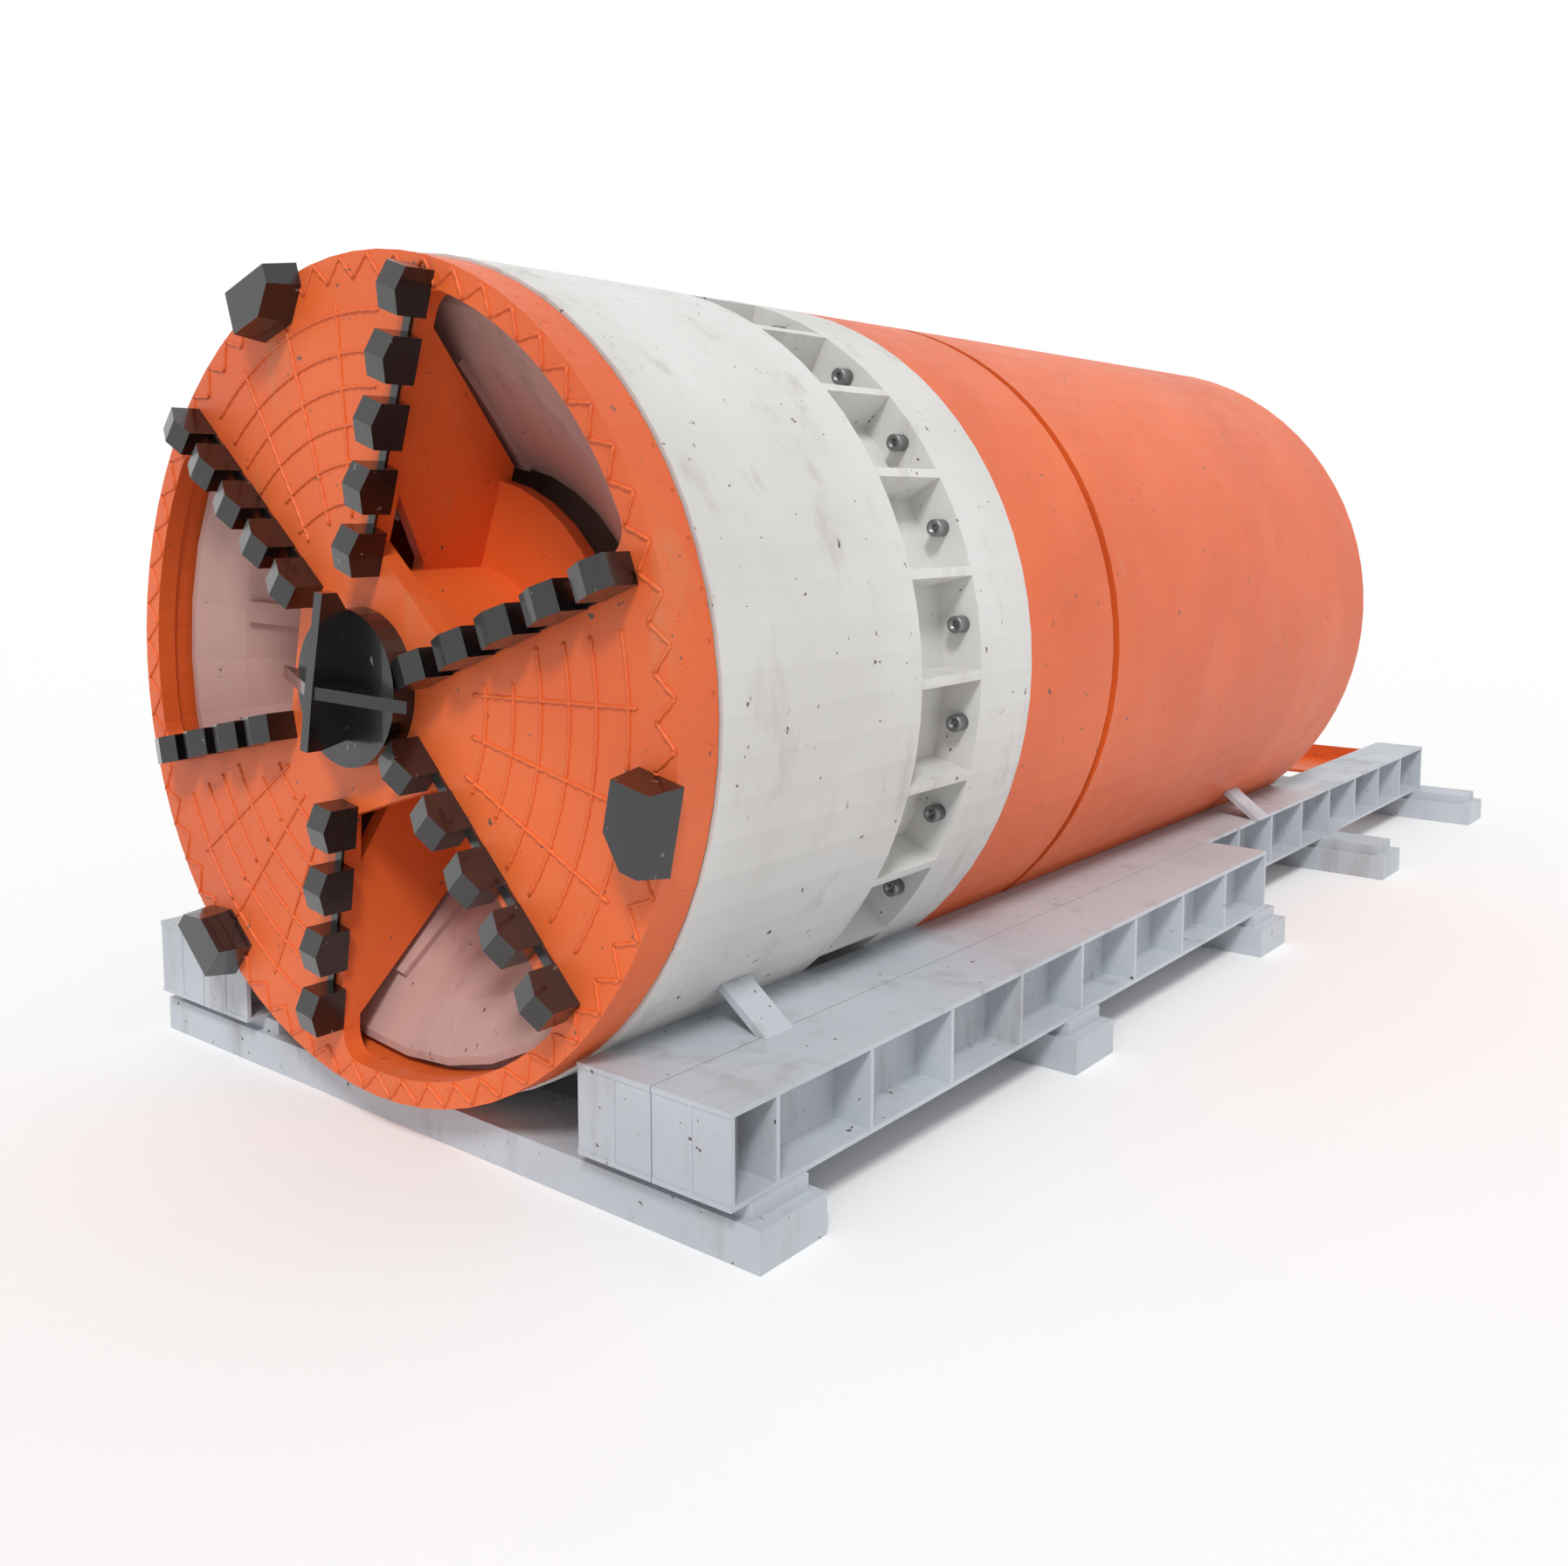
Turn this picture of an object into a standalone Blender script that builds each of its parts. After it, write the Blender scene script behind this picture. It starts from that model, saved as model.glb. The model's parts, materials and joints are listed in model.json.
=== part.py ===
"""Slurry tunnel boring machine for small tunnels, standing on its launch cradle.

A "station" is a distance in metres behind the front face of the cutterhead, measured along the
machine's axis.  Angles round the axis are in degrees from +X towards +Z, as seen from the front.
"""
from math import cos, degrees, radians, sin, sqrt

import bmesh
import bpy
from mathutils import Vector

# ------------------------------------------------------------------ clearances
SEAM = 0.0003           # between two pieces that touch
HEAD_GAP = 0.006        # between the turning head and the shield
RUNNING_GAP = 0.025     # round the turning shaft
SINK = 0.002            # how far shapes that are joined into one reach into each other
SEGMENTS = 72           # facets of a shell ring
INNER_SEGMENTS = 36     # facets of an inner round piece

# ------------------------------------------------------------------ shell
SHELL_R = 1.020
FRONT_WALL = 0.050
REAR_WALL = 0.040
SHIELD_LENGTH = 0.728
SHIELD_FLANGE = 0.053
SHIELD_FLANGE_INNER_R = 0.880
POCKET_RING_LENGTH = 0.3257
POCKET_RING_INNER_R = 0.880
MID_BAND_LENGTH = 0.206
FRONT_CAN_LENGTH = 0.4845
STEER_GAP = 0.041
NECK_CLEARANCE = 0.018
NECK_WALL = 0.040
NECK_REACH = 0.200
NECK_ROOT = 0.070
REAR_CAN_1_LENGTH = 1.1095
REAR_CAN_2_LENGTH = 1.1467

POCKETS = 24
POCKET_RIB = 0.025
POCKET_DEPTH = 0.115
POCKET_LENGTH = 0.274

# ------------------------------------------------------------------ cutterhead
HEAD_R = SHELL_R - 0.007
PLATE = 0.049
RIM_DEPTH = 0.119
RIM_WALL = 0.058
HEAD_BORE_R = 0.050
OPENING_CENTRES = (48.0, 168.0, 288.0)
OPENING_HALF_ANGLE = 21.35
OPENING_EDGE_OFFSET = 0.0805
OPENING_INNER = 0.2856
OPENING_LEDGE = 0.006
OPENING_CORNER_R = 0.061

WEB = 0.040
WEB_OUTER = 0.853
WEB_REAR_OUTER = 0.530
WEB_DEPTH = 0.331
WEB_HOLE_LENGTH = 0.180
WEB_HOLE_DEPTH = 0.116
HUB_R = 0.275
BACK_DISC_R = 0.500
BACK_DISC = 0.040
HUB_DEPTH = 0.336
SHAFT_R = 0.150

PICK_WIDTH = 0.107
PICK_SHOULDER = 0.077
PICK_PEAK = 0.095
PICK_THICKNESS = 0.070
STRIP_WIDTH = 0.025
STRIP_HEIGHT = 0.008
# name, direction of the row, distance of the row from the centre, first pick, pitch, picks
PICK_ROWS = (
    ("pick_row_1", 71.3, 0.055, 0.324, 0.152, 5),
    ("pick_row_2", 139.8, -0.041, 0.323, 0.147, 5),
    ("pick_row_3", 192.2, 0.054, 0.367, 0.150, 4),
    ("pick_row_4", 261.1, -0.029, 0.353, 0.159, 4),
    ("pick_row_5", 315.3, 0.032, 0.265, 0.159, 5),
    ("pick_row_6", 21.0, -0.036, 0.273, 0.155, 5),
)

GAUGE_CENTRES = (108.0, 228.0, 348.0)
GAUGE_REACH = 0.017     # how far a gauge cutter stands out past the head's rim
GAUGE_LENGTH = 0.127
GAUGE_WIDTH = 0.194
GAUGE_HEIGHT = 0.088
GAUGE_CHAMFER = 0.070
GAUGE_TAPER = 0.010

NOSE_R = 0.189
NOSE_PLATE = 0.059
NOSE_BLADE = 0.030
NOSE_TIP = 0.156
NOSE_TURN = 84.0
NOSE_REACH = 0.231
NOSE_LOW_REACH = 0.139
NOSE_SIDE_REACH = 0.242
NOSE_CHIN = 0.163

# ------------------------------------------------------------------ inside
LIP_CLEARANCE = 0.017
LIP_FRONT = 0.092
CONE_FRONT_R = 0.796
CONE_FRONT = 0.173
CONE_REAR_R = 0.530
CONE_REAR = 0.445
CONE_WALL = 0.040
CONE_FLANGE = 0.065
CONE_BARS = (80.0, 170.0, 260.0, 350.0)
CONE_BAR_WIDTH = 0.060
CONE_BAR_HEIGHT = 0.020
BULKHEAD_STATION = 0.600
BULKHEAD = 0.050
DRIVE_R = 0.450
DRIVE_LENGTH = 0.900
POWER_UNIT_WIDTH = 0.980
POWER_UNIT_HEIGHT = 0.750
POWER_UNIT_LENGTH = 0.600
POWER_UNIT_INSET = 0.080
TAIL_RING_DEPTH = 0.100
TAIL_RING_INSET = 0.017
TAIL_RING_INNER_R = 0.900
REAR_BULKHEAD_INSET = 0.260
REAR_BULKHEAD = 0.030
PIPE_R = 0.084
PIPE_X = 0.300
PIPE_Z = -0.380
PIPE_LENGTH = 0.380
PIPE_COLLAR_R = 0.110
PIPE_COLLAR = 0.050
HATCH_R = 0.300
HATCH = 0.025
HATCH_Z = 0.300

# ------------------------------------------------------------------ cradle
SEAT_ANGLE = 50.0       # below the horizontal, where a girder carries the shell
GIRDER_WIDTH = 0.220
GIRDER_DEPTH = 0.210
FLANGE = 0.012
GIRDER_WEB = 0.009
GIRDER_PAIR_GAP = 0.003
GIRDER_START = 0.051
INNER_GIRDER_LENGTH = 5.609
OUTER_GIRDER_LENGTH = 2.897
STIFFENER = 0.012
STIFFENER_SHY = 0.0004
STIFFENER_FIRST = 0.153
STIFFENER_PITCH = 0.340
PACKING = 0.038
PACKING_START = 0.600
PACKING_END = 1.107
PACKING_NARROWER = 0.020
SLEEPER_HALF_LENGTH = 1.142
SLEEPER_WIDTH = 0.225
SLEEPER_DEPTH = 0.0956
SLEEPERS = 5
SLEEPER_EVERY = 4       # stiffeners from one sleeper to the next
CHOCK_ANGLE = 42.9
CHOCK_FOOT = 0.862
CHOCK_THICKNESS = 0.020
CHOCK_WIDTH = 0.100
CHOCK_STATIONS = (("front", 0.465), ("rear", 3.468))
TIE_START = 5.212
TIE_WIDTH = 0.400
TIE_THICKNESS = 0.014
TIE_TOP_BELOW_GIRDER = 0.106
TIE_UPSTAND = 0.071

# ------------------------------------------------------------------ worked out
SHIELD_STATION = RIM_DEPTH + HEAD_GAP
POCKET_RING_STATION = SHIELD_STATION + SHIELD_LENGTH + SEAM
MID_BAND_STATION = POCKET_RING_STATION + POCKET_RING_LENGTH + SEAM
FRONT_CAN_STATION = MID_BAND_STATION + MID_BAND_LENGTH + SEAM
PIVOT_STATION = FRONT_CAN_STATION + FRONT_CAN_LENGTH + STEER_GAP / 2
REAR_CAN_1_STATION = PIVOT_STATION + STEER_GAP / 2
REAR_CAN_2_STATION = REAR_CAN_1_STATION + REAR_CAN_1_LENGTH + SEAM
TAIL_STATION = REAR_CAN_2_STATION + REAR_CAN_2_LENGTH
FRONT_INNER_R = SHELL_R - FRONT_WALL
REAR_INNER_R = SHELL_R - REAR_WALL
RIM_INNER_R = HEAD_R - RIM_WALL
OPENING_R = RIM_INNER_R - OPENING_LEDGE
SEAT_TIP_X = SHELL_R * cos(radians(SEAT_ANGLE)) + SEAM
GIRDER_TOP = -SHELL_R * sin(radians(SEAT_ANGLE))
AXIS_HEIGHT = SLEEPER_DEPTH + PACKING + SEAM + GIRDER_DEPTH - GIRDER_TOP
SLEEPER_STATION = GIRDER_START + STIFFENER_FIRST
SLEEPER_PITCH = SLEEPER_EVERY * STIFFENER_PITCH
REAR_END = SLEEPER_STATION + (SLEEPERS - 1) * SLEEPER_PITCH + SLEEPER_WIDTH / 2
FACE_Y = (NOSE_CHIN - REAR_END) / 2

SIDES = (("left", 1), ("right", -1))


# ------------------------------------------------------------------ helpers
def clear_scene():
    for item in list(bpy.data.objects):
        bpy.data.objects.remove(item, do_unlink=True)


def material(name, colour, roughness, metallic=0.0):
    made = bpy.data.materials.new(name)
    made.use_nodes = True
    shader = made.node_tree.nodes["Principled BSDF"]
    shader.inputs["Base Color"].default_value = (*colour, 1.0)
    shader.inputs["Roughness"].default_value = roughness
    shader.inputs["Metallic"].default_value = metallic
    made.diffuse_color = (*colour, 1.0)
    return made


def empty(name, parent, location):
    made = bpy.data.objects.new(name, None)
    made.parent = parent
    made.location = location
    bpy.context.collection.objects.link(made)
    return made


def new_object(name, mesh_data, look, parent, location, smooth=False):
    bmesh.ops.recalc_face_normals(mesh_data, faces=mesh_data.faces)
    mesh = bpy.data.meshes.new(name)
    mesh_data.to_mesh(mesh)
    mesh_data.free()
    if smooth:
        mesh.shade_smooth()
        mesh.set_sharp_from_angle(angle=radians(30))
    made = bpy.data.objects.new(name, mesh)
    made.parent = parent
    made.location = location
    if look is not None:
        mesh.materials.append(look)
    bpy.context.collection.objects.link(made)
    return made


def combine(target, helper, operation):
    """Cuts the helper out of the target, or joins it to the target."""
    helper.hide_render = True
    helper.display_type = "WIRE"
    step = target.modifiers.new(helper.name, "BOOLEAN")
    step.operation = operation
    step.solver = "EXACT"
    step.object = helper


def polar(radius, angle):
    return Vector((radius * cos(radians(angle)), 0.0, radius * sin(radians(angle))))


def turned(mesh_data, outline, segments):
    """Turns a closed outline of (radius, station) points round the Y axis."""
    rings = []
    for index in range(segments):
        angle = 360.0 * index / segments
        ring = [mesh_data.verts.new(polar(radius, angle) + Vector((0, station, 0)))
                for radius, station in outline]
        rings.append(ring)
    count = len(outline)
    for index, ring in enumerate(rings):
        following = rings[(index + 1) % segments]
        for corner in range(count):
            after = (corner + 1) % count
            mesh_data.faces.new((ring[corner], ring[after], following[after], following[corner]))


def slab(mesh_data, outline, origin, across, up, through):
    """Extrudes an outline of (across, up) points along the vector through."""
    near = [mesh_data.verts.new(origin + a * across + b * up) for a, b in outline]
    far = [mesh_data.verts.new(vertex.co + through) for vertex in near]
    mesh_data.faces.new(near)
    mesh_data.faces.new(list(reversed(far)))
    for index, vertex in enumerate(near):
        after = (index + 1) % len(near)
        mesh_data.faces.new((vertex, near[after], far[after], far[index]))


def box(mesh_data, low, high):
    outline = ((low[0], low[2]), (high[0], low[2]), (high[0], high[2]), (low[0], high[2]))
    slab(mesh_data, outline, Vector((0, low[1], 0)), Vector((1, 0, 0)), Vector((0, 0, 1)),
         Vector((0, high[1] - low[1], 0)))


def disc(mesh_data, radius, start, length, segments, centre=(0.0, 0.0)):
    middle = Vector((centre[0], start, centre[1]))
    outline = [(polar(radius, 360.0 * i / segments).x, polar(radius, 360.0 * i / segments).z)
               for i in range(segments)]
    slab(mesh_data, outline, middle, Vector((1, 0, 0)), Vector((0, 0, 1)), Vector((0, length, 0)))


# ------------------------------------------------------------------ cutterhead
def opening_outline():
    """Outline of one opening, with its centre direction along the first axis."""
    slope = radians(OPENING_HALF_ANGLE)
    along = Vector((cos(slope), sin(slope)))
    side = Vector((-sin(slope), cos(slope)))
    start = (OPENING_INNER + OPENING_EDGE_OFFSET * sin(slope)) / cos(slope)
    inner_corner = along * start + side * OPENING_EDGE_OFFSET
    centre_offset = OPENING_EDGE_OFFSET - OPENING_CORNER_R
    centre_along = sqrt((OPENING_R - OPENING_CORNER_R) ** 2 - centre_offset ** 2)
    centre = along * centre_along + side * centre_offset
    steps = 4
    half = [inner_corner]
    full_turn = side.angle_signed(centre)
    for step in range(steps + 1):
        turn = full_turn * step / steps
        spoke = Vector((side.x * cos(turn) + side.y * sin(turn),
                        side.y * cos(turn) - side.x * sin(turn)))
        half.append(centre + spoke * OPENING_CORNER_R)
    last = Vector((1, 0)).angle_signed(half[-1])
    arc_steps = 6
    arc = []
    for step in range(1, 2 * arc_steps):
        angle = -last * (1 - step / arc_steps)
        arc.append(Vector((OPENING_R * cos(angle), OPENING_R * sin(angle))))
    mirrored = [Vector((point.x, -point.y)) for point in reversed(half)]
    return half + arc + mirrored


def cutterhead_disc(look, parent):
    outline = (
        (HEAD_BORE_R, 0.0),
        (HEAD_R, 0.0),
        (HEAD_R, RIM_DEPTH),
        (RIM_INNER_R, RIM_DEPTH),
        (RIM_INNER_R, PLATE),
        (HEAD_BORE_R, PLATE),
    )
    mesh_data = bmesh.new()
    turned(mesh_data, outline, SEGMENTS)
    made = new_object("cutterhead_disc", mesh_data, look, parent, (0, 0, 0), smooth=True)
    cuts = bmesh.new()
    for direction in OPENING_CENTRES:
        slab(cuts, opening_outline(), Vector((0, -PLATE, 0)), polar(1, direction),
             polar(1, direction + 90), Vector((0, 3 * PLATE, 0)))
    combine(made, new_object("cut_openings", cuts, None, parent, (0, 0, 0)), "DIFFERENCE")


def cutterhead_webs(look, parent):
    hub = bmesh.new()
    outline = (
        (HEAD_BORE_R, 0.0),
        (HUB_R, 0.0),
        (HUB_R, HUB_DEPTH - BACK_DISC),
        (BACK_DISC_R, HUB_DEPTH - BACK_DISC),
        (BACK_DISC_R, HUB_DEPTH),
        (HEAD_BORE_R, HUB_DEPTH),
    )
    turned(hub, outline, INNER_SEGMENTS)
    station = PLATE + SEAM
    made = new_object("cutterhead_webs", hub, look, parent, (0, station, 0), smooth=True)
    webs = bmesh.new()
    root = HUB_R * 0.8
    outline = (
        (HUB_R + WEB_HOLE_LENGTH, 0.0),
        (WEB_OUTER, 0.0),
        (WEB_REAR_OUTER, WEB_DEPTH),
        (root, WEB_DEPTH),
        (root, WEB_HOLE_DEPTH),
        (HUB_R, WEB_HOLE_DEPTH),
    )
    for centre in OPENING_CENTRES:
        for turn in (-1, 1):
            direction = centre + turn * OPENING_HALF_ANGLE
            away = polar(turn, direction + 90)
            slab(webs, outline, away * OPENING_EDGE_OFFSET, polar(1, direction),
                 Vector((0, 1, 0)), away * WEB)
    combine(made, new_object("join_webs", webs, None, parent, (0, station, 0)), "UNION")


def pick_row(name, direction, offset, first, pitch, count, look, parent):
    """Picks in one line, joined by the weld strip along their back."""
    along = polar(1, direction)
    away = polar(1 if offset > 0 else -1, direction + 90)
    line = away * abs(offset)
    forward = Vector((0, -1, 0))
    half = PICK_WIDTH / 2
    outline = (
        (-half, 0.0),
        (half, 0.0),
        (half, PICK_SHOULDER),
        (0.0, PICK_PEAK),
        (-half, PICK_SHOULDER),
    )
    picks = bmesh.new()
    for index in range(count):
        middle = line + along * (first + index * pitch) - away * PICK_THICKNESS / 2
        slab(picks, outline, middle, along, forward, away * PICK_THICKNESS)
    made = new_object(name, picks, look, parent, (0, -SEAM, 0))
    strip = bmesh.new()
    length = (count - 1) * pitch
    start = line + along * first + away * (PICK_THICKNESS / 2 - SINK - STRIP_WIDTH)
    outline = ((0.0, 0.0), (length, 0.0), (length, STRIP_HEIGHT), (0.0, STRIP_HEIGHT))
    slab(strip, outline, start, along, forward, away * STRIP_WIDTH)
    helper = new_object("join_" + name, strip, None, parent, (0, -SEAM - SEAM, 0))
    combine(made, helper, "UNION")


def gauge_cutter(name, direction, look, parent):
    """Block on the rim; its inner leading corner is cut off and its front is smaller."""
    outward = polar(1, direction)
    across = polar(1, direction + 90)
    outer = HEAD_R + GAUGE_REACH
    inner = outer - GAUGE_LENGTH
    half = GAUGE_WIDTH / 2
    outline = (
        (inner + GAUGE_CHAMFER, -half),
        (outer, -half),
        (outer, half),
        (inner, half),
        (inner, -half + GAUGE_CHAMFER),
    )
    cutter = bmesh.new()
    slab(cutter, outline, Vector((0, 0, 0)), outward, across, Vector((0, -GAUGE_HEIGHT, 0)))
    middle = outward * (inner + outer) / 2
    shrink_out = 1 - 2 * GAUGE_TAPER / GAUGE_LENGTH
    shrink_across = 1 - 2 * GAUGE_TAPER / GAUGE_WIDTH
    for vertex in cutter.verts:
        if vertex.co.y < -GAUGE_HEIGHT / 2:
            reach = Vector((vertex.co.x, 0, vertex.co.z)) - middle
            out = outward * reach.dot(outward) * shrink_out
            side = across * reach.dot(across) * shrink_across
            vertex.co = middle + out + side + Vector((0, vertex.co.y, 0))
    new_object(name, cutter, look, parent, (0, -SEAM, 0))


def nose(look, parent):
    plate = bmesh.new()
    disc(plate, NOSE_R, -NOSE_PLATE, NOSE_PLATE - SEAM, INNER_SEGMENTS)
    new_object("nose_plate", plate, look, parent, (0, 0, 0), smooth=True)
    base = NOSE_PLATE + SEAM
    upright = (
        (NOSE_REACH, 0.097),
        (NOSE_REACH, 0.137),
        (0.0, NOSE_TIP),
        (-NOSE_LOW_REACH, NOSE_CHIN),
        (-NOSE_LOW_REACH, 0.128),
        (-NOSE_LOW_REACH * 0.88, base),
        (NOSE_R * 0.92, base),
    )
    blades = bmesh.new()
    forward = Vector((0, -1, 0))
    side = polar(1, NOSE_TURN + 90)
    slab(blades, upright, -side * NOSE_BLADE / 2, polar(1, NOSE_TURN), forward, side * NOSE_BLADE)
    made = new_object("nose_blades", blades, look, parent, (0, 0, 0))
    low = base + SEAM
    level = (
        (-NOSE_SIDE_REACH, low + 0.004),
        (0.0, NOSE_TIP - SEAM),
        (NOSE_SIDE_REACH, low + 0.004),
        (NOSE_R * 0.95, low),
        (-NOSE_R * 0.95, low),
    )
    wings = bmesh.new()
    side = polar(1, NOSE_TURN)
    slab(wings, level, -side * NOSE_BLADE / 2, polar(1, NOSE_TURN + 90), forward,
         side * NOSE_BLADE)
    combine(made, new_object("join_wings", wings, None, parent, (0, 0, 0)), "UNION")


def drive_shaft(look, parent):
    shaft = bmesh.new()
    start = PLATE + SEAM + HUB_DEPTH + SEAM
    end = BULKHEAD_STATION + BULKHEAD - SEAM
    disc(shaft, SHAFT_R, 0.0, end - start, INNER_SEGMENTS)
    new_object("drive_shaft", shaft, look, parent, (0, start, 0), smooth=True)


# ------------------------------------------------------------------ front section
def front_piece(name, outline, station, look, parent, segments=SEGMENTS):
    piece = bmesh.new()
    turned(piece, outline, segments)
    return new_object(name, piece, look, parent, (0, station - PIVOT_STATION, 0), smooth=True)


def front_shield(look, parent):
    flange_start = SHIELD_LENGTH - SHIELD_FLANGE
    outline = (
        (FRONT_INNER_R, 0.0),
        (SHELL_R, 0.0),
        (SHELL_R, SHIELD_LENGTH),
        (SHIELD_FLANGE_INNER_R, SHIELD_LENGTH),
        (SHIELD_FLANGE_INNER_R, flange_start),
        (FRONT_INNER_R, flange_start),
    )
    front_piece("front_shield", outline, SHIELD_STATION, look, parent)


def crusher_cone(look, parent):
    """Stationary cone round the turning webs, with a lip nested in the head's rim."""
    lip_r = RIM_INNER_R - LIP_CLEARANCE
    flange_r = FRONT_INNER_R - SEAM
    flange_front = SHIELD_STATION + 0.010 - LIP_FRONT
    flange_rear = flange_front + CONE_FLANGE
    front = CONE_FRONT - LIP_FRONT
    rear = CONE_REAR - LIP_FRONT
    outline = (
        (lip_r - 0.020, 0.0),
        (lip_r, 0.0),
        (lip_r, flange_front),
        (flange_r, flange_front),
        (flange_r, flange_rear),
        (CONE_FRONT_R + 2 * CONE_WALL, flange_rear),
        (CONE_REAR_R + CONE_WALL, rear + CONE_WALL * 0.6),
        (CONE_REAR_R, rear),
        (CONE_FRONT_R, front),
    )
    made = front_piece("crusher_cone", outline, LIP_FRONT, look, parent, INNER_SEGMENTS)
    slope = Vector((CONE_REAR_R - CONE_FRONT_R, rear - front)).normalized()
    inward = Vector((-slope.y, slope.x))
    first = Vector((CONE_FRONT_R, front)) + slope * 0.010
    last = Vector((CONE_REAR_R, rear)) - slope * 0.015
    sunk = inward * -0.5 * CONE_WALL
    proud = inward * CONE_BAR_HEIGHT
    outline = (first + sunk, last + sunk, last + proud, first + proud)
    bars = bmesh.new()
    for angle in CONE_BARS:
        side = polar(1, angle + 90)
        slab(bars, outline, -side * CONE_BAR_WIDTH / 2, polar(1, angle), Vector((0, 1, 0)),
             side * CONE_BAR_WIDTH)
    helper = new_object("join_bars", bars, None, parent, made.location)
    combine(made, helper, "UNION")


def pressure_bulkhead(look, parent):
    bore = SHAFT_R + RUNNING_GAP
    outer = FRONT_INNER_R - SEAM
    outline = ((bore, 0.0), (outer, 0.0), (outer, BULKHEAD), (bore, BULKHEAD))
    front_piece("pressure_bulkhead", outline, BULKHEAD_STATION, look, parent, INNER_SEGMENTS)


def main_drive(look, parent):
    """Motors, gears and bearing of the head as one plain mass."""
    drive = bmesh.new()
    disc(drive, DRIVE_R, 0.0, DRIVE_LENGTH, INNER_SEGMENTS)
    station = BULKHEAD_STATION + BULKHEAD + SEAM
    new_object("main_drive", drive, look, parent, (0, station - PIVOT_STATION, 0), smooth=True)


def bolt_pocket_ring(look, parent):
    outline = (
        (POCKET_RING_INNER_R, 0.0),
        (SHELL_R, 0.0),
        (SHELL_R, POCKET_RING_LENGTH),
        (POCKET_RING_INNER_R, POCKET_RING_LENGTH),
    )
    made = front_piece("bolt_pocket_ring", outline, POCKET_RING_STATION, look, parent)
    floor_r = SHELL_R - POCKET_DEPTH
    pitch = 360.0 / POCKETS
    steps = 3
    half = POCKET_RIB / 2
    rib_along = sqrt(floor_r ** 2 - half ** 2)
    outer_r = SHELL_R + POCKET_DEPTH
    pockets = bmesh.new()
    for index in range(POCKETS):
        start = index * pitch
        near = polar(1, start)
        near_side = polar(half, start + 90)
        far = polar(1, start + pitch)
        far_side = polar(-half, start + pitch + 90)
        corners = [near * rib_along + near_side]
        corners += [polar(floor_r, start + pitch * step / steps) for step in range(1, steps)]
        corners += [far * rib_along + far_side, far * outer_r + far_side]
        corners += [near * outer_r + near_side]
        outline = [(corner.x, corner.z) for corner in corners]
        slab(pockets, outline, Vector((0, -POCKET_RIB, 0)), Vector((1, 0, 0)),
             Vector((0, 0, 1)), Vector((0, POCKET_RIB + POCKET_LENGTH, 0)))
    helper = new_object("cut_pockets", pockets, None, parent, made.location)
    combine(made, helper, "DIFFERENCE")


def mid_band(look, parent):
    outline = (
        (FRONT_INNER_R, 0.0),
        (SHELL_R, 0.0),
        (SHELL_R, MID_BAND_LENGTH),
        (FRONT_INNER_R, MID_BAND_LENGTH),
    )
    front_piece("mid_band", outline, MID_BAND_STATION, look, parent)


def front_can(look, parent):
    """Rear can of the front section, with the neck that reaches into the rear section."""
    neck_r = REAR_INNER_R - NECK_CLEARANCE
    neck_inner_r = neck_r - NECK_WALL
    neck_end = FRONT_CAN_LENGTH + STEER_GAP / 2 + NECK_REACH
    neck_root = FRONT_CAN_LENGTH - NECK_ROOT
    outline = (
        (FRONT_INNER_R, 0.0),
        (SHELL_R, 0.0),
        (SHELL_R, FRONT_CAN_LENGTH),
        (neck_r, FRONT_CAN_LENGTH),
        (neck_r, neck_end),
        (neck_inner_r, neck_end),
        (neck_inner_r, neck_root),
        (FRONT_INNER_R, neck_root),
    )
    front_piece("front_can", outline, FRONT_CAN_STATION, look, parent)


# ------------------------------------------------------------------ rear section
def rear_piece(name, outline, station, look, parent, segments=SEGMENTS):
    piece = bmesh.new()
    turned(piece, outline, segments)
    return new_object(name, piece, look, parent, (0, station, 0), smooth=True)


def rear_cans(look, parent):
    lengths = (
        ("rear_can_1", REAR_CAN_1_STATION, REAR_CAN_1_LENGTH),
        ("rear_can_2", REAR_CAN_2_STATION, REAR_CAN_2_LENGTH),
    )
    for name, station, length in lengths:
        outline = ((REAR_INNER_R, 0.0), (SHELL_R, 0.0), (SHELL_R, length), (REAR_INNER_R, length))
        rear_piece(name, outline, station, look, parent)


def tail_ring(look, parent):
    outer = REAR_INNER_R - SEAM
    outline = (
        (TAIL_RING_INNER_R, 0.0),
        (outer, 0.0),
        (outer, TAIL_RING_DEPTH),
        (TAIL_RING_INNER_R, TAIL_RING_DEPTH),
    )
    station = TAIL_STATION - TAIL_RING_INSET - TAIL_RING_DEPTH
    rear_piece("tail_ring", outline, station, look, parent, INNER_SEGMENTS)


def rear_bulkhead(look, parent):
    plate = bmesh.new()
    disc(plate, REAR_INNER_R - SEAM, 0.0, REAR_BULKHEAD, INNER_SEGMENTS)
    station = TAIL_STATION - REAR_BULKHEAD_INSET - REAR_BULKHEAD
    made = new_object("rear_bulkhead", plate, look, parent, (0, station, 0), smooth=True)
    holes = bmesh.new()
    for _, side in SIDES:
        disc(holes, PIPE_R + SEAM, -REAR_BULKHEAD, 3 * REAR_BULKHEAD, 16, (side * PIPE_X, PIPE_Z))
    helper = new_object("cut_pipe_holes", holes, None, parent, (0, station, 0))
    combine(made, helper, "DIFFERENCE")
    return station


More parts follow.
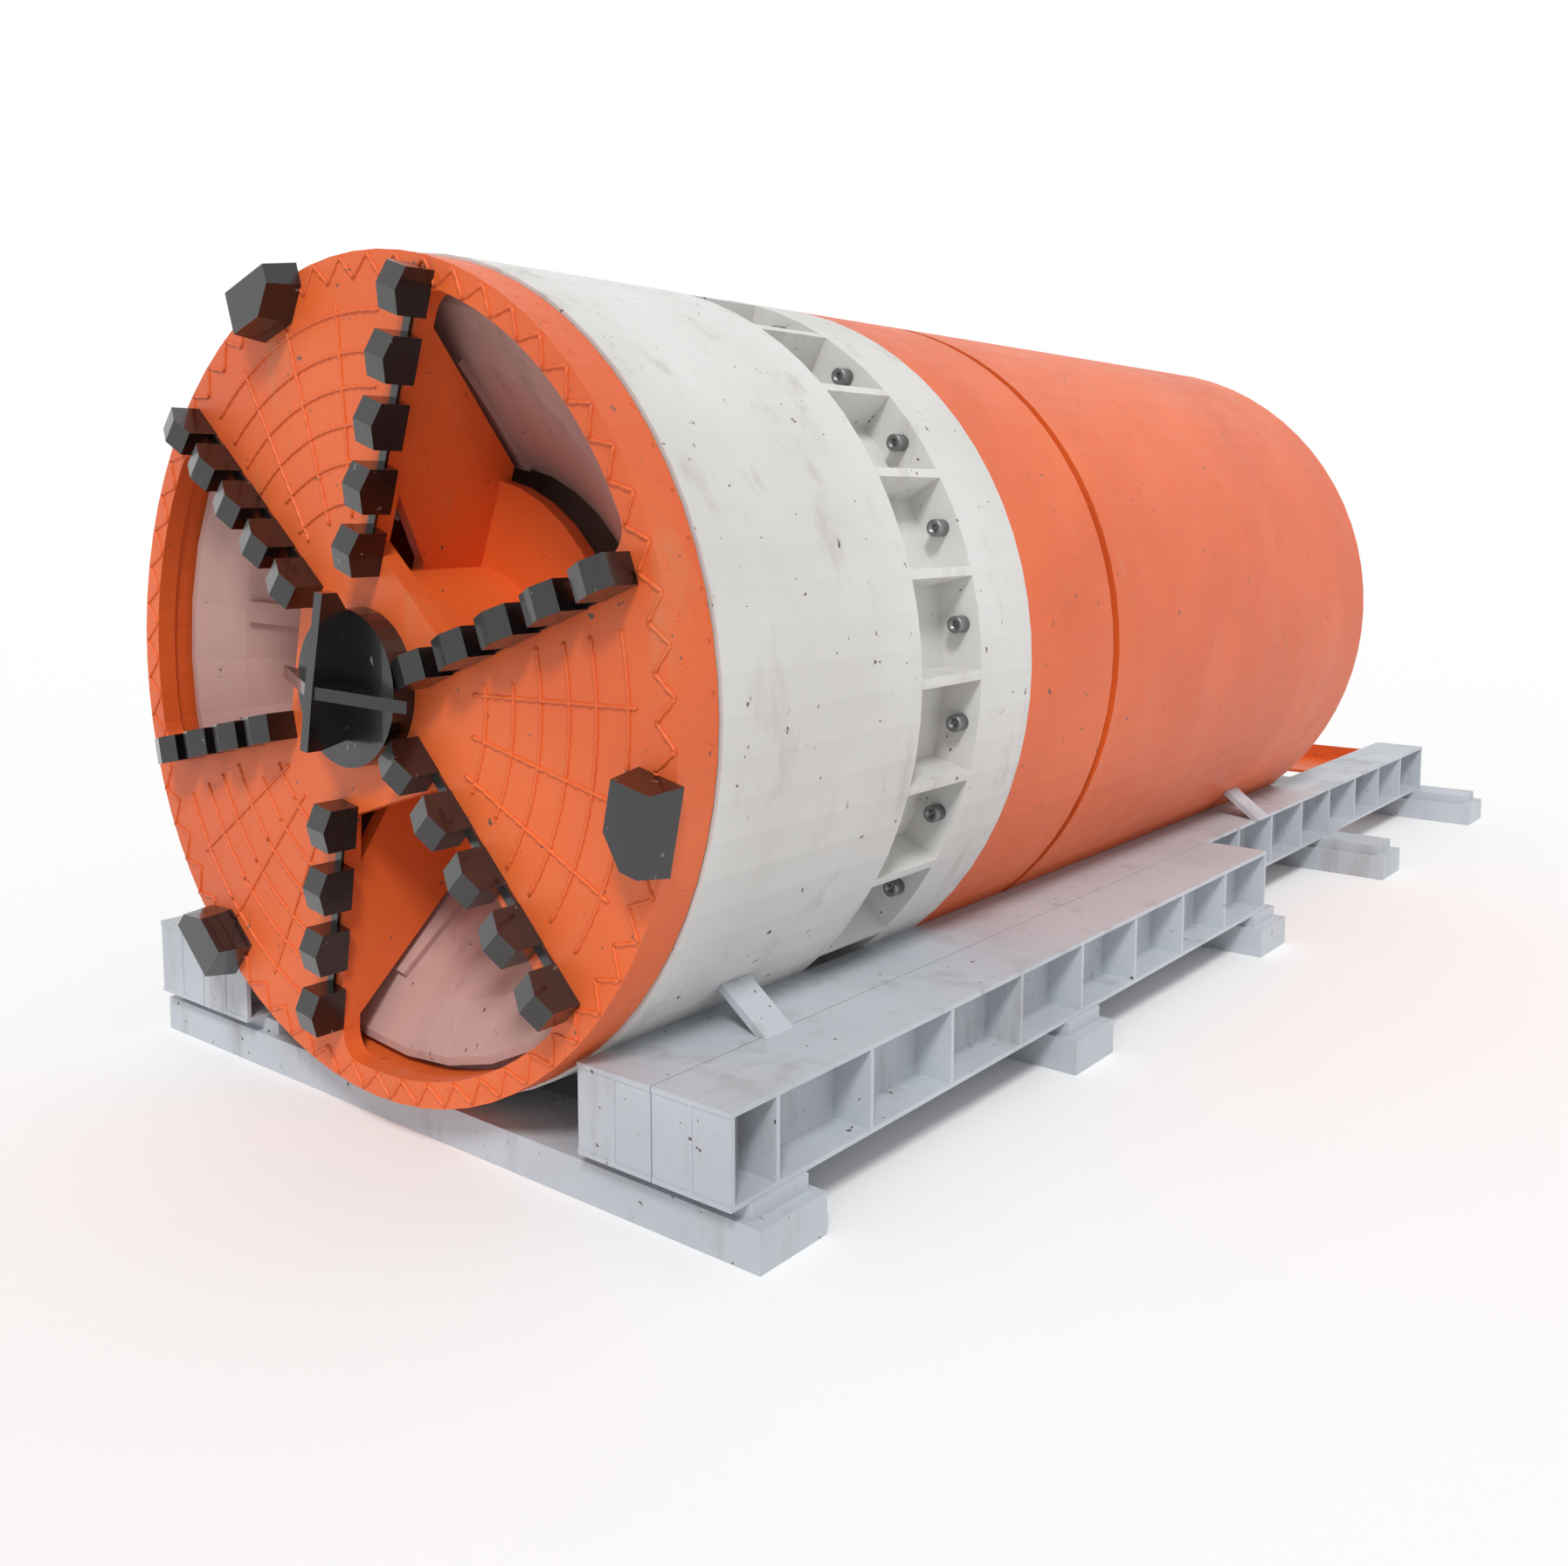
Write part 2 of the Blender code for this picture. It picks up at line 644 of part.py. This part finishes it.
def slurry_pipe(name, side, bulkhead_station, look, parent):
    """Pipe through the rear bulkhead with the collar for the next pipe on its end."""
    outline = (
        (PIPE_R * 0.85, 0.0),
        (PIPE_R, 0.0),
        (PIPE_R, PIPE_LENGTH - PIPE_COLLAR),
        (PIPE_COLLAR_R, PIPE_LENGTH - PIPE_COLLAR),
        (PIPE_COLLAR_R, PIPE_LENGTH),
        (PIPE_R * 0.85, PIPE_LENGTH),
    )
    pipe = bmesh.new()
    turned(pipe, outline, 16)
    start = bulkhead_station + REAR_BULKHEAD + REAR_BULKHEAD_INSET - TAIL_RING_INSET - PIPE_LENGTH
    new_object(name, pipe, look, parent, (side * PIPE_X, start, PIPE_Z), smooth=True)


def hatch(bulkhead_station, look, parent):
    door = bmesh.new()
    disc(door, HATCH_R, 0.0, HATCH, INNER_SEGMENTS)
    station = bulkhead_station + REAR_BULKHEAD + SEAM
    new_object("access_hatch", door, look, parent, (0, station, HATCH_Z), smooth=True)


def power_unit(look, parent):
    """Hydraulic pumps and tank as one plain mass on the bottom of the rear can."""
    half = POWER_UNIT_WIDTH / 2
    bottom = -sqrt((REAR_INNER_R - 2 * SEAM) ** 2 - half ** 2)
    unit = bmesh.new()
    box(unit, (-half, 0.0, bottom), (half, POWER_UNIT_LENGTH, bottom + POWER_UNIT_HEIGHT))
    station = REAR_CAN_2_STATION + POWER_UNIT_INSET
    new_object("power_unit", unit, look, parent, (0, station, 0))


# ------------------------------------------------------------------ cradle
def stiffener_starts(length):
    """Starts of the plates across a girder: one at each end and one at every pitch."""
    between = int((length - STIFFENER_FIRST - STIFFENER_PITCH / 2) / STIFFENER_PITCH) + 1
    starts = [SINK]
    starts += [STIFFENER_FIRST + i * STIFFENER_PITCH - STIFFENER / 2 for i in range(between)]
    starts.append(length - SINK - STIFFENER)
    return starts


def girder(name, low_x, length, look, parent):
    half = GIRDER_WIDTH / 2
    web = GIRDER_WEB / 2
    top = GIRDER_DEPTH
    outline = (
        (-half, 0.0), (half, 0.0), (half, FLANGE), (web, FLANGE),
        (web, top - FLANGE), (half, top - FLANGE), (half, top), (-half, top),
        (-half, top - FLANGE), (-web, top - FLANGE), (-web, FLANGE), (-half, FLANGE),
    )
    beam = bmesh.new()
    slab(beam, outline, Vector((0, 0, 0)), Vector((1, 0, 0)), Vector((0, 0, 1)),
         Vector((0, length, 0)))
    bottom = SLEEPER_DEPTH + PACKING + SEAM
    place = (low_x + half, GIRDER_START, bottom)
    made = new_object(name, beam, look, parent, place)
    plates = bmesh.new()
    reach = half - STIFFENER_SHY
    for start in stiffener_starts(length):
        box(plates, (-reach, start, FLANGE - SINK), (reach, start + STIFFENER, top - FLANGE + SINK))
    combine(made, new_object("join_" + name, plates, None, parent, place), "UNION")


def sleeper(name, station, look, parent):
    """Cross block with a packing plate under each pair of girders."""
    half = SLEEPER_WIDTH / 2
    narrow = half - PACKING_NARROWER
    block = bmesh.new()
    box(block, (-SLEEPER_HALF_LENGTH, -half, 0.0), (SLEEPER_HALF_LENGTH, half, SLEEPER_DEPTH))
    made = new_object(name, block, look, parent, (0, station, 0))
    packing = bmesh.new()
    for _, side in SIDES:
        ends = sorted((side * PACKING_START, side * PACKING_END))
        box(packing, (ends[0], -narrow, SLEEPER_DEPTH - SINK),
            (ends[1], narrow, SLEEPER_DEPTH + PACKING))
    combine(made, new_object("join_" + name, packing, None, parent, (0, station, 0)), "UNION")


def chock(name, side, station, look, parent):
    """Plate that leans from the top of the girder in to the shell."""
    head = polar(SHELL_R + SEAM, -CHOCK_ANGLE)
    foot = Vector((CHOCK_FOOT, 0, GIRDER_TOP + SEAM))
    lean = (foot - head).normalized()
    spread = CHOCK_THICKNESS / abs(lean.z)
    head_top = polar(SHELL_R + SEAM, degrees(CHOCK_THICKNESS / SHELL_R) - CHOCK_ANGLE)
    corners = (head, head_top, foot + Vector((spread, 0, 0)), foot)
    outline = [(side * corner.x, corner.z) for corner in corners]
    plate = bmesh.new()
    slab(plate, outline, Vector((0, -CHOCK_WIDTH / 2, 0)), Vector((1, 0, 0)), Vector((0, 0, 1)),
         Vector((0, CHOCK_WIDTH, 0)))
    new_object(name, plate, look, parent, (0, station, AXIS_HEIGHT))


def rear_tie(look, parent):
    """Angle across the gap between the inner girders, behind the tail."""
    half = SEAT_TIP_X - SEAM
    top = AXIS_HEIGHT + GIRDER_TOP - TIE_TOP_BELOW_GIRDER
    upstand_top = top + TIE_UPSTAND
    outline = (
        (0.0, top - TIE_THICKNESS),
        (TIE_WIDTH, top - TIE_THICKNESS),
        (TIE_WIDTH, upstand_top),
        (TIE_WIDTH - TIE_THICKNESS, upstand_top),
        (TIE_WIDTH - TIE_THICKNESS, top),
        (0.0, top),
    )
    tie = bmesh.new()
    slab(tie, outline, Vector((-half, 0, 0)), Vector((0, 1, 0)), Vector((0, 0, 1)),
         Vector((2 * half, 0, 0)))
    new_object("rear_tie", tie, look, parent, (0, TIE_START, 0))


def cradle(white, orange, parent):
    outer_tip = SEAT_TIP_X + GIRDER_WIDTH + GIRDER_PAIR_GAP
    for side_name, side in SIDES:
        inner = SEAT_TIP_X if side > 0 else -SEAT_TIP_X - GIRDER_WIDTH
        outer = outer_tip if side > 0 else -outer_tip - GIRDER_WIDTH
        girder("inner_girder_" + side_name, inner, INNER_GIRDER_LENGTH, white, parent)
        girder("outer_girder_" + side_name, outer, OUTER_GIRDER_LENGTH, white, parent)
        for end, station in CHOCK_STATIONS:
            chock("chock_" + end + "_" + side_name, side, station, white, parent)
    for index in range(SLEEPERS):
        station = SLEEPER_STATION + index * SLEEPER_PITCH
        sleeper("sleeper_" + str(index + 1), station, white, parent)
    rear_tie(orange, parent)


# ------------------------------------------------------------------ the whole machine
def main():
    clear_scene()
    orange = material("orange_paint", (0.75, 0.16, 0.05), 0.45)
    tool_black = material("tool_black", (0.02, 0.02, 0.022), 0.35)
    shield_white = material("shield_white", (0.62, 0.62, 0.60), 0.5)
    chamber_grey = material("chamber_grey", (0.42, 0.30, 0.27), 0.6)
    cradle_white = material("cradle_white", (0.50, 0.52, 0.55), 0.55)
    bare_steel = material("bare_steel", (0.35, 0.35, 0.36), 0.4, 0.9)

    machine = empty("machine_axis", None, (0, FACE_Y, AXIS_HEIGHT))
    pivot = empty("steering_pivot", machine, (0, PIVOT_STATION, 0))
    head = empty("cutterhead_axis", pivot, (0, -PIVOT_STATION, 0))
    ground = empty("cradle_ground", None, (0, FACE_Y, 0))

    cutterhead_disc(orange, head)
    cutterhead_webs(orange, head)
    for row in PICK_ROWS:
        pick_row(*row, tool_black, head)
    for index, direction in enumerate(GAUGE_CENTRES):
        gauge_cutter("gauge_cutter_" + str(index + 1), direction, tool_black, head)
    nose(tool_black, head)
    drive_shaft(bare_steel, head)

    front_shield(shield_white, pivot)
    crusher_cone(chamber_grey, pivot)
    pressure_bulkhead(chamber_grey, pivot)
    main_drive(bare_steel, pivot)
    bolt_pocket_ring(shield_white, pivot)
    mid_band(shield_white, pivot)
    front_can(orange, pivot)

    rear_cans(orange, machine)
    tail_ring(orange, machine)
    bulkhead_station = rear_bulkhead(chamber_grey, machine)
    slurry_pipe("slurry_feed_pipe", 1, bulkhead_station, bare_steel, machine)
    slurry_pipe("slurry_return_pipe", -1, bulkhead_station, bare_steel, machine)
    hatch(bulkhead_station, chamber_grey, machine)
    power_unit(bare_steel, machine)
    cradle(cradle_white, orange, ground)


main()
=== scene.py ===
"""Looks of the slurry tunnel boring machine: paint, wear, weld beads, screws, stage and camera."""

import json
from math import cos, pi, radians, sin

import bmesh
import bpy
from bpy.props import FloatProperty, StringProperty
from mathutils import Euler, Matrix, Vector


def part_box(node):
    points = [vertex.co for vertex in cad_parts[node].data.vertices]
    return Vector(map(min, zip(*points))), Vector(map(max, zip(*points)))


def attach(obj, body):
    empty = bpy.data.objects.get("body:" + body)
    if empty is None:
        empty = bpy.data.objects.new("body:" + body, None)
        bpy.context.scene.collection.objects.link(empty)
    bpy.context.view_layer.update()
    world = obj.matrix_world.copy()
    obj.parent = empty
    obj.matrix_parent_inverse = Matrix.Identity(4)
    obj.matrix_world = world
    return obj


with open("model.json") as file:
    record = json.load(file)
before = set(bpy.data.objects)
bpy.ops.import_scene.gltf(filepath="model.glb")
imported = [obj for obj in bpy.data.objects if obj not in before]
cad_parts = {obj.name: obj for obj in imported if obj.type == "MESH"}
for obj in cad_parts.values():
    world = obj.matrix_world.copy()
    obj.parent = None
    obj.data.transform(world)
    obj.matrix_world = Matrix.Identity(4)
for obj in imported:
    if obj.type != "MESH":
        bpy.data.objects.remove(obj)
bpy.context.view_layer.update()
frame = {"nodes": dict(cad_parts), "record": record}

bl_info = {
    "name": "Tunnel boring machine",
    "version": (1, 0, 0),
    "blender": (4, 5, 0),
    "location": "View3D > Sidebar > Machine",
    "description": "Finishes the machine's pieces and sets its stage",
    "category": "Object",
}

HEAD_LOW, HEAD_HIGH = (Vector(corner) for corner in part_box("cutterhead_disc"))
AXIS_Z = (HEAD_LOW.z + HEAD_HIGH.z) / 2
FACE_Y = HEAD_LOW.y
HEAD_R = HEAD_HIGH.x

# Hard-facing on the head, in metres and degrees from the middle of a spoke.
SPOKE_CENTRES = (108.0, 228.0, 348.0)
ARC_RADII = (0.439, 0.53, 0.617, 0.704, 0.785, 0.877)
WIDE_ARC_FROM = 0.6
WIDE_ARC = 24
NARROW_ARC = 17
ARC_STEP = 0.8
SPOKE_TURNS = (-13.5, 0.0, 13.5)
SPOKE_BEAD = (0.40, 0.90)
ZIGZAG_TEETH = 60
ZIGZAG_FACE = (0.953, 1.006)
ZIGZAG_SIDE = (0.012, 0.108)
SIDE_SINK = 0.004
DROP = 0.012
SIDE_DROP = 0.014
BEAD_SIDES = 6

# Screws in the pockets of the ring.
SCREWS = 24
SCREW_CIRCLE_R = 0.969
SCREW_FRONT = 1.087
SCREW_LENGTH = 0.040
SOCKET_DEPTH = 0.018
SCREW_SIDES = 24

# Light and camera.
FLOOR_SIZE = 400
FLOOR_DROP = 0.001
SKY_STRENGTH = 0.62
SUN_STRENGTH = 2.0
SUN_SOFTNESS = 12
SUN_TURN = (42, 8, 28)
CAMERA_FROM_FACE = (2.950, -2.101, 0.429)
CAMERA_DOWN = 5.9657
CAMERA_TURN = 38.8728


# ------------------------------------------------------------------ materials
def linear(code):
    """sRGB hex to linear RGBA."""
    values = [int(code[i:i + 2], 16) / 255 for i in (1, 3, 5)]
    return [v / 12.92 if v <= 0.04045 else ((v + 0.055) / 1.055) ** 2.4 for v in values] + [1.0]


def add(tree, kind, links=(), **settings):
    """Adds a node; settings name its properties or, as in_NAME, its inputs' values."""
    node = tree.nodes.new("ShaderNode" + kind)
    for key, value in settings.items():
        if key.startswith("in_"):
            node.inputs[key[3:].replace("_", " ")].default_value = value
        else:
            setattr(node, key, value)
    for socket, target in links:
        tree.links.new(socket, node.inputs[target])
    return node


def ramp(tree, source, low, high, colours):
    node = add(tree, "ValToRGB", [(source, "Fac")])
    node.color_ramp.elements[0].position = low
    node.color_ramp.elements[1].position = high
    node.color_ramp.elements[0].color = colours[0]
    node.color_ramp.elements[1].color = colours[1]
    return node


def worn_paint(name, base, shade, dirt, roughness, dirt_from=0.55, metallic=0.0, coat=0.0,
               chips="#5a4a44", bump=0.25):
    """Sprayed enamel: slow colour drift, dust in patches, small chips and orange-peel."""
    made = bpy.data.materials.new(name)
    made.use_nodes = True
    tree = made.node_tree
    shader = tree.nodes["Principled BSDF"]
    place = add(tree, "TexCoord").outputs["Object"]
    drift = add(tree, "TexNoise", [(place, "Vector")], in_Scale=1.3, in_Detail=5.0)
    body = ramp(tree, drift.outputs["Fac"], 0.35, 0.65, (linear(shade), linear(base)))
    stretched = add(tree, "Mapping", [(place, "Vector")], in_Scale=(1.0, 1.0, 0.25))
    smear = add(tree, "TexNoise", [(stretched.outputs[0], "Vector")], in_Scale=7.0,
                in_Detail=9.0, in_Roughness=0.65)
    mask = ramp(tree, smear.outputs["Fac"], dirt_from, dirt_from + 0.2,
                ((0, 0, 0, 1), (0.75, 0.75, 0.75, 1)))
    dusty = add(tree, "Mix", data_type="RGBA")
    tree.links.new(mask.outputs[0], dusty.inputs[0])
    tree.links.new(body.outputs[0], dusty.inputs[6])
    dusty.inputs[7].default_value = linear(dirt)
    specks = add(tree, "TexNoise", [(place, "Vector")], in_Scale=38.0, in_Detail=6.0)
    chip = ramp(tree, specks.outputs["Fac"], 0.70, 0.72, ((0, 0, 0, 1), (1, 1, 1, 1)))
    chipped = add(tree, "Mix", data_type="RGBA")
    tree.links.new(chip.outputs[0], chipped.inputs[0])
    tree.links.new(dusty.outputs[2], chipped.inputs[6])
    chipped.inputs[7].default_value = linear(chips)
    tree.links.new(chipped.outputs[2], shader.inputs["Base Color"])
    rough = add(tree, "MapRange", [(smear.outputs["Fac"], "Value")])
    rough.inputs["To Min"].default_value = roughness - 0.1
    rough.inputs["To Max"].default_value = roughness + 0.2
    tree.links.new(rough.outputs[0], shader.inputs["Roughness"])
    shader.inputs["Metallic"].default_value = metallic
    shader.inputs["Coat Weight"].default_value = coat
    relief = add(tree, "Bump", [(smear.outputs["Fac"], "Height")], in_Strength=bump,
                 in_Distance=0.003)
    tree.links.new(relief.outputs[0], shader.inputs["Normal"])
    return made


def finishes():
    return {
        "orange": worn_paint("orange_enamel_on_steel", "#e0652b", "#cf5824", "#c07a52", 0.40, 0.60),
        "tool_black": worn_paint("black_gloss_enamel_on_picks", "#0d0d0f", "#070708", "#1d1c1b",
                                 0.24, 0.66, coat=0.6, chips="#6b625c", bump=0.5),
        "shield_white": worn_paint("off_white_primer", "#d6d5d3", "#c6c4c1", "#a8a29b", 0.5),
        # The chamber's paint is white; these darker pink-grey tones are painted shade and a painted
        # reflection of the orange steel around it.
        "chamber": worn_paint("pink_grey_chamber_paint", "#b9968f", "#a5837c", "#8a6f66", 0.5),
        "steel": worn_paint("machined_steel", "#8c8c8c", "#7a7a7a", "#5c564f", 0.4, metallic=0.9),
        "cradle": worn_paint("grey_white_beam_paint", "#bec3ca", "#adb2b9", "#94908c", 0.5),
    }


# ------------------------------------------------------------------ mesh helpers
def radial(radius, angle, station):
    turn = radians(angle)
    return Vector((radius * cos(turn), FACE_Y + station, AXIS_Z + radius * sin(turn)))


def bead(mesh_data, points, width, seed):
    """Half-buried weld bead through the points, with the ripple of its drops."""
    rings = []
    for index, point in enumerate(points):
        before = points[max(index - 1, 0)]
        after = points[min(index + 1, len(points) - 1)]
        along = (after - before).normalized()
        side = along.orthogonal().normalized()
        other = along.cross(side)
        size = width / 2 * (0.85 + 0.25 * sin(index * 2.1 + seed))
        rings.append([mesh_data.verts.new(point + (side * cos(2 * pi * k / BEAD_SIDES)
                      + other * sin(2 * pi * k / BEAD_SIDES)) * size) for k in range(BEAD_SIDES)])
    for ring, following in zip(rings, rings[1:]):
        for k in range(BEAD_SIDES):
            nxt = (k + 1) % BEAD_SIDES
            mesh_data.faces.new((ring[k], ring[nxt], following[nxt], following[k]))
    mesh_data.faces.new(rings[0])
    mesh_data.faces.new(list(reversed(rings[-1])))


def piece(name, mesh_data, look, body):
    bmesh.ops.recalc_face_normals(mesh_data, faces=mesh_data.faces)
    mesh = bpy.data.meshes.new(name)
    mesh_data.to_mesh(mesh)
    mesh_data.free()
    mesh.materials.append(look)
    mesh.shade_smooth()
    made = bpy.data.objects.new(name, mesh)
    bpy.context.scene.collection.objects.link(made)
    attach(made, body)
    return made


def straight(start, end, step):
    count = max(2, int((end - start).length / step))
    return [start.lerp(end, i / count) for i in range(count + 1)]


# ------------------------------------------------------------------ settings and operators
class MachineSettings(bpy.types.PropertyGroup):
    bead_width: FloatProperty(name="Bead width", description="Width of a weld bead",
                              default=0.012, unit="LENGTH")
    screw_radius: FloatProperty(name="Screw radius", description="Radius of a pocket screw's head",
                                default=0.0225, unit="LENGTH")
    floor_colour: StringProperty(name="Floor colour", description="sRGB hex of the floor",
                                 default="#f4f4f4")


class PaintCadPieces(bpy.types.Operator):
    """Gives every constructed piece its finish"""
    bl_idname = "machine.paint_pieces"
    bl_label = "Paint pieces"

    def execute(self, context):
        looks = finishes()
        slots = {part["node"]: part["material_slot"] for part in frame["record"]["subparts"]}
        for name, item in frame["nodes"].items():
            item.data.materials.clear()
            item.data.materials.append(looks[slots[name]])
        return {"FINISHED"}


class WeldHardFacing(bpy.types.Operator):
    """Lays the hard-facing beads on the cutterhead's face and rim"""
    bl_idname = "machine.weld_hard_facing"
    bl_label = "Hard-facing welds"

    def execute(self, context):
        width = context.scene.machine.bead_width
        look = bpy.data.materials["orange_enamel_on_steel"]
        face = bmesh.new()
        for centre in SPOKE_CENTRES:
            for ring, radius in enumerate(ARC_RADII):
                reach = WIDE_ARC if radius > WIDE_ARC_FROM else NARROW_ARC
                steps = int(reach / ARC_STEP)
                arc = [radial(radius, centre + a * ARC_STEP, 0.0) for a in range(-steps, steps + 1)]
                bead(face, arc, width, ring)
            for turn in SPOKE_TURNS:
                inner, outer = (radial(radius, centre + turn, 0.0) for radius in SPOKE_BEAD)
                bead(face, straight(inner, outer, DROP), width, turn)
        side_r = HEAD_R - SIDE_SINK
        for index in range(ZIGZAG_TEETH):
            start = 360.0 * index / ZIGZAG_TEETH
            middle = start + 180.0 / ZIGZAG_TEETH
            end = start + 360.0 / ZIGZAG_TEETH
            for low, high in ((start, middle), (end, middle)):
                on_face = (radial(ZIGZAG_FACE[0], low, 0.0), radial(ZIGZAG_FACE[1], high, 0.0))
                bead(face, straight(*on_face, DROP), width, low)
                on_side = (radial(side_r, low, ZIGZAG_SIDE[0]), radial(side_r, high, ZIGZAG_SIDE[1]))
                bead(face, straight(*on_side, SIDE_DROP), width * 0.8, low)
        piece("cutterhead_hard_facing", face, look, "cutterhead")
        return {"FINISHED"}


class PocketScrews(bpy.types.Operator):
    """Puts the ring's hexagon-socket screws in its pockets"""
    bl_idname = "machine.pocket_screws"
    bl_label = "Pocket screws"

    def execute(self, context):
        size = context.scene.machine.screw_radius
        look = bpy.data.materials["machined_steel"]
        heads = bmesh.new()
        outline = ((0.5 * size, SOCKET_DEPTH), (0.5 * size, 0.0), (0.9 * size, 0.0),
                   (size, 0.003), (size, SCREW_LENGTH))
        for index in range(SCREWS):
            middle = radial(SCREW_CIRCLE_R, 360.0 / SCREWS * (index + 0.5), SCREW_FRONT)
            rings = []
            for radius, depth in outline:
                turns = [2 * pi * k / SCREW_SIDES for k in range(SCREW_SIDES)]
                rings.append([heads.verts.new(middle + Vector((radius * cos(turn), depth,
                                                               radius * sin(turn))))
                              for turn in turns])
            for ring, following in zip(rings, rings[1:]):
                for k in range(len(ring)):
                    nxt = (k + 1) % len(ring)
                    heads.faces.new((ring[k], ring[nxt], following[nxt], following[k]))
            heads.faces.new(rings[0])
            heads.faces.new(rings[-1])
        piece("pocket_screws", heads, look, "front_section")
        return {"FINISHED"}


class SetStage(bpy.types.Operator):
    """Floor, backdrop light, lamps and camera"""
    bl_idname = "machine.set_stage"
    bl_label = "Stage"

    def execute(self, context):
        scene = context.scene
        scene.view_settings.view_transform = "Standard"
        bpy.ops.mesh.primitive_plane_add(size=FLOOR_SIZE, location=(0, 0, -FLOOR_DROP))
        floor = context.object
        floor.name = "floor"
        look = bpy.data.materials.new("pale_floor")
        look.use_nodes = True
        shader = look.node_tree.nodes["Principled BSDF"]
        shader.inputs["Base Color"].default_value = linear(scene.machine.floor_colour)
        shader.inputs["Roughness"].default_value = 0.9
        floor.data.materials.append(look)
        world = bpy.data.worlds.new("soft_sky")
        scene.world = world
        world.use_nodes = True
        tree = world.node_tree
        paths = add(tree, "LightPath")
        seen = add(tree, "Math", [(paths.outputs["Is Camera Ray"], 0)], operation="MAXIMUM")
        tree.links.new(paths.outputs["Is Glossy Ray"], seen.inputs[1])
        strength = add(tree, "MapRange", [(seen.outputs[0], "Value")])
        strength.inputs["To Min"].default_value = SKY_STRENGTH
        strength.inputs["To Max"].default_value = 1.0
        sky = tree.nodes["Background"]
        sky.inputs[0].default_value = linear("#ffffff")
        tree.links.new(strength.outputs[0], sky.inputs[1])
        sun = bpy.data.lights.new("sun", "SUN")
        sun.energy = SUN_STRENGTH
        sun.angle = radians(SUN_SOFTNESS)
        lamp = bpy.data.objects.new("sun", sun)
        lamp.rotation_euler = Euler([radians(turn) for turn in SUN_TURN])
        scene.collection.objects.link(lamp)
        lens = bpy.data.cameras.new("camera")
        lens.lens = 33.86
        lens.sensor_width = 36.0
        lens.shift_x = 0.0052
        lens.shift_y = -0.079
        camera = bpy.data.objects.new("camera", lens)
        camera.location = Vector(CAMERA_FROM_FACE) + Vector((0.0, FACE_Y, AXIS_Z))
        camera.rotation_euler = Euler((radians(90 - CAMERA_DOWN), 0.0, radians(CAMERA_TURN)))
        scene.collection.objects.link(camera)
        scene.camera = camera
        return {"FINISHED"}


class MachinePanel(bpy.types.Panel):
    """Lists the machine's operators"""
    bl_idname = "VIEW3D_PT_machine"
    bl_label = "Tunnel boring machine"
    bl_space_type = "VIEW_3D"
    bl_region_type = "UI"
    bl_category = "Machine"

    def draw(self, context):
        for operator in OPERATORS:
            self.layout.operator(operator.bl_idname)


OPERATORS = (PaintCadPieces, WeldHardFacing, PocketScrews, SetStage)
CLASSES = (MachineSettings, *OPERATORS, MachinePanel)


def register():
    for item in CLASSES:
        bpy.utils.register_class(item)
    bpy.types.Scene.machine = bpy.props.PointerProperty(type=MachineSettings)


def unregister():
    del bpy.types.Scene.machine
    for item in reversed(CLASSES):
        bpy.utils.unregister_class(item)


def main():
    register()
    bpy.ops.machine.paint_pieces()
    bpy.ops.machine.weld_hard_facing()
    bpy.ops.machine.pocket_screws()
    bpy.ops.machine.set_stage()


if __name__ == "__main__":
    main()
